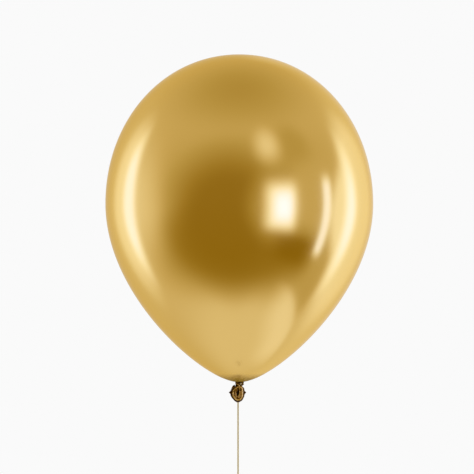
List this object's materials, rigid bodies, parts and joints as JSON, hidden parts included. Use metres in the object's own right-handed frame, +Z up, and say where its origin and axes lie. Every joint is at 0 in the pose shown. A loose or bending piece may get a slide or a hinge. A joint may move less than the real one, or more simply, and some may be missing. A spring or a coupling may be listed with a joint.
{
  "type": "latex balloon",
  "caption": "Inflated pear-shaped latex balloon with a metallic gold skin, knotted neck, rolled lip and a hanging string that ends in a finger loop.",
  "frame": {"origin": "the neck tie point, where the gathered neck leaves the bottom of the envelope, on the balloon's axis", "axes": "+Z up along the balloon's axis, -Y the front, which the tail's open mouth faces, +X to the right seen from the front"},
  "size_m": [0.2799, 0.28, 0.4986],
  "materials": {
    "latex_skin": "polished",
    "latex_gathered": "gloss",
    "string": "satin"
  },
  "bodies": {
    "balloon": {"envelope": "latex_skin", "neck": "latex_gathered", "neck_knot": "latex_gathered", "string_hitch": "string", "hitch_tag": "string"},
    "tail": {"tail": "latex_gathered", "rolled_lip": "latex_gathered"},
    "hitch_knot": {"hitch_knot": "string"},
    "string": {"string": "string", "loop_knot": "string", "loop_tag": "string"},
    "finger_loop": {"finger_loop": "string"}
  },
  "joints": [
    {"name": "tail_bend", "type": "hinge", "parent": "balloon", "child": "tail", "pos_m": [0, 0, -0.0068], "axis": [1, 0, 0], "range_deg": [-12, 12], "stiffness_Nm_per_rad": 0.0005},
    {"name": "string_swing_side", "type": "hinge", "parent": "balloon", "child": "hitch_knot", "pos_m": [-0.0013, 0.0056, -0.002], "axis": [0, 1, 0], "range_deg": [-65, 65]},
    {"name": "string_swing_back", "type": "hinge", "parent": "hitch_knot", "child": "string", "pos_m": [-0.0013, 0.0056, -0.002], "axis": [1, 0, 0], "range_deg": [0, 60]},
    {"name": "loop_swing", "type": "hinge", "parent": "string", "child": "finger_loop", "pos_m": [-0.0013, 0.0056, -0.118], "axis": [0, 1, 0], "range_deg": [-50, 50]}
  ]
}
